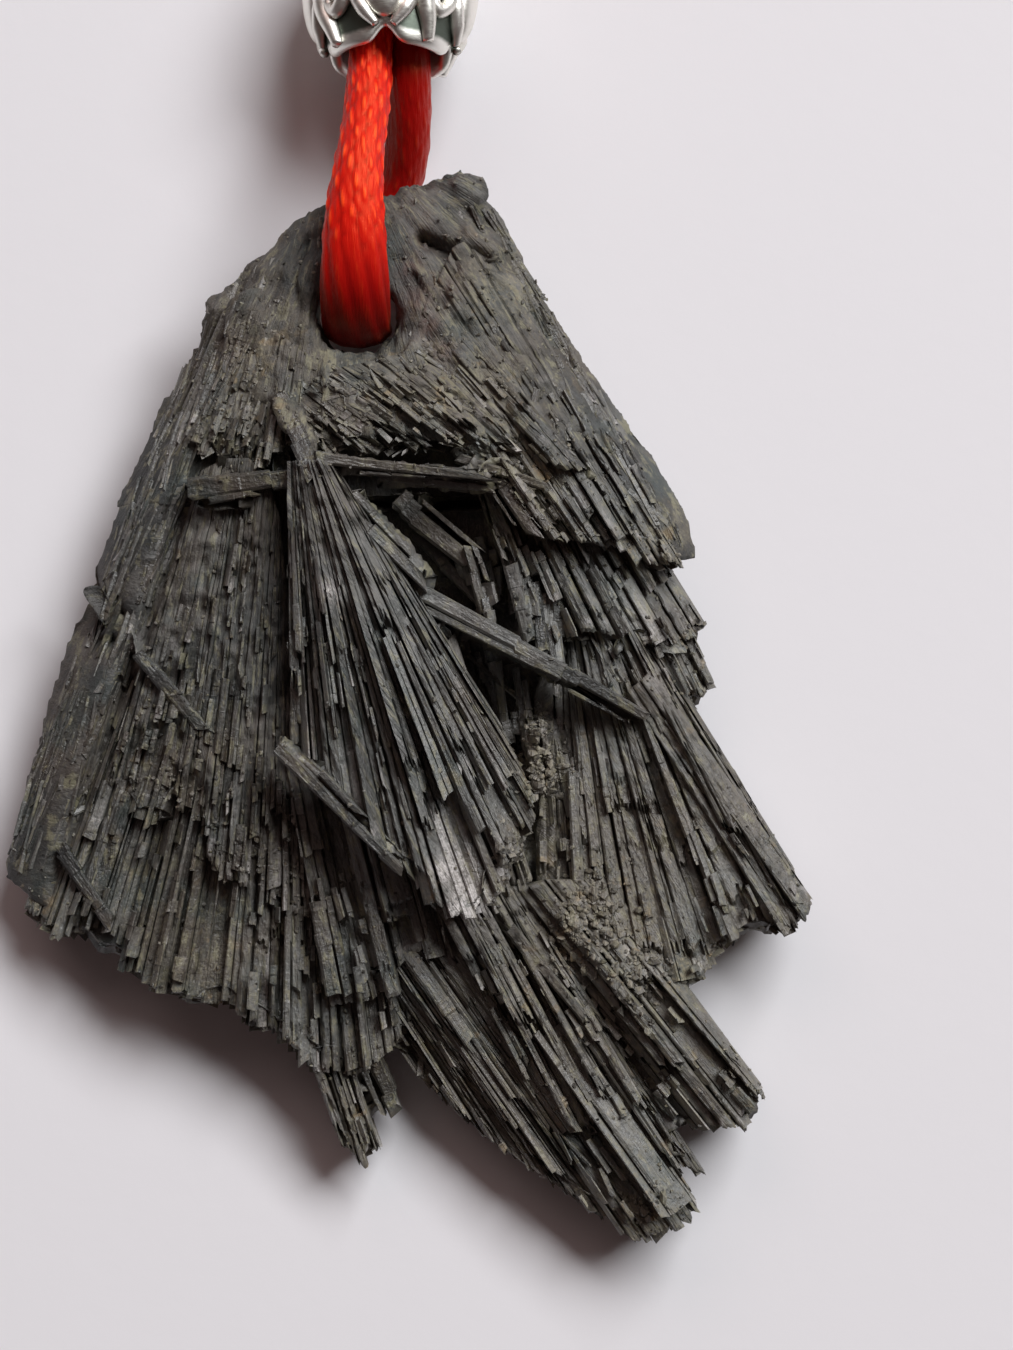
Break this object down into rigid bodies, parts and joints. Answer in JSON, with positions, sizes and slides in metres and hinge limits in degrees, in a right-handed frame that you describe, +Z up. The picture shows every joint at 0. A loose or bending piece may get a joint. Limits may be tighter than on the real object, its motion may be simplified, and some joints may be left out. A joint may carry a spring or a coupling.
{
  "type": "black kyanite fan",
  "caption": "Fan-shaped cluster of black bladed kyanite with a drilled hole, threaded on a doubled red satin cord with an ornate silver bead.",
  "frame": {"origin": "middle of the stone's footprint, on the surface it lies on", "axes": "+Z up, away from the surface it lies on; +Y from the blade tips towards the drilled hole; +X to the right, seen from above"},
  "size_m": [0.0463, 0.1094, 0.0111],
  "materials": {
    "kyanite": "bladed, silky sheen on fresh blades, dull and dusty where weathered",
    "silver": "polished silver with darkened recesses",
    "cord": "satin, knitted"
  },
  "bodies": {
    "root": {"kyanite_fan": "kyanite", "silver_bead": "silver", "satin_cord_loop": "cord", "satin_cord_coil": "cord", "satin_cord_knot": "cord"}
  },
  "joints": []
}
